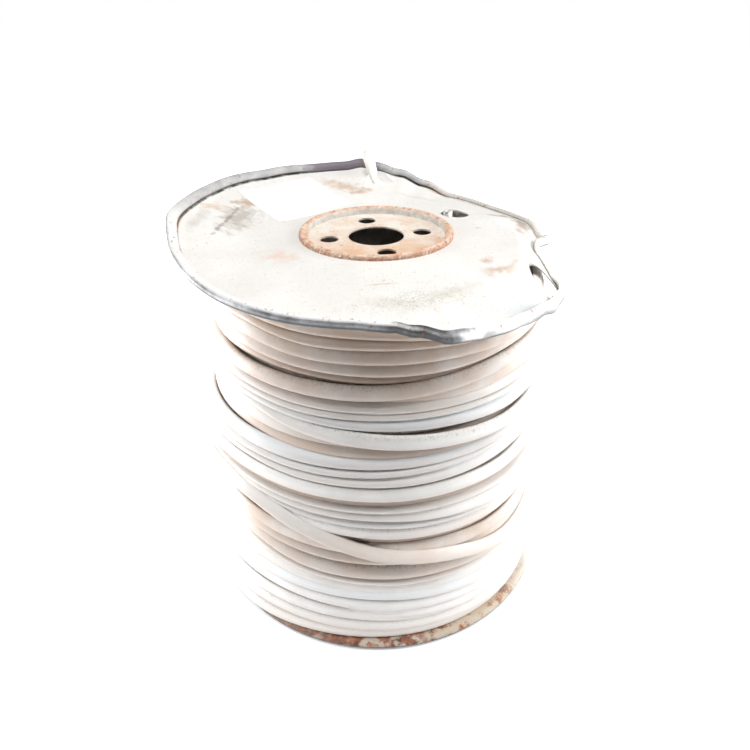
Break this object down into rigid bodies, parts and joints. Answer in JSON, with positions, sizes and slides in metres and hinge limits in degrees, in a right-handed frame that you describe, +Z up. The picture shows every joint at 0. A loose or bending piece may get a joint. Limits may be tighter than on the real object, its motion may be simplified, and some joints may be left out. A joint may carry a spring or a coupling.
{
  "type": "cable reel",
  "caption": "Pressed steel cable reel with curled flanges, a rolled hub with an arbor bore and drive holes, wound full of flat two-wire building cable; its upper flange is bent.",
  "frame": {"origin": "on the reel's axis, at the plane that the lower flange stands on", "axes": "+Z up along the reel's axis; +Y away from the side that is nearest the viewer; the bent side of the upper flange is towards +X"},
  "size_m": [0.2701, 0.2707, 0.29],
  "materials": {
    "reel_paint": "worn white paint on steel sheet",
    "rusty_steel": "rusted steel sheet with patches of old paint",
    "galvanised_sheet": "dull galvanised sheet",
    "hub_steel": "light rust over galvanised steel",
    "cable_core": "satin vinyl sheath, shaded",
    "cable_sheath": "satin white vinyl sheath, dirty",
    "black_insulation": "satin",
    "white_insulation": "satin",
    "copper": "bare copper wire",
    "label_paper": "matt paper, stained"
  },
  "bodies": {
    "root": {"upper_flange": "reel_paint", "lower_flange": "rusty_steel", "barrel": "galvanised_sheet", "upper_hub_plate": "hub_steel", "lower_hub_plate": "hub_steel", "inner_layers": "cable_core", "outer_layer": "cable_sheath", "cable_tail": "cable_sheath", "inner_end_sheath": "cable_sheath", "inner_end_black_insulation": "black_insulation", "inner_end_white_insulation": "white_insulation", "inner_end_copper_cores": "copper", "inner_end_ground_wire": "copper", "outer_end_black_insulation": "black_insulation", "outer_end_white_insulation": "white_insulation", "outer_end_copper_cores": "copper", "outer_end_ground_wire": "copper", "paper_label": "label_paper"}
  },
  "joints": []
}
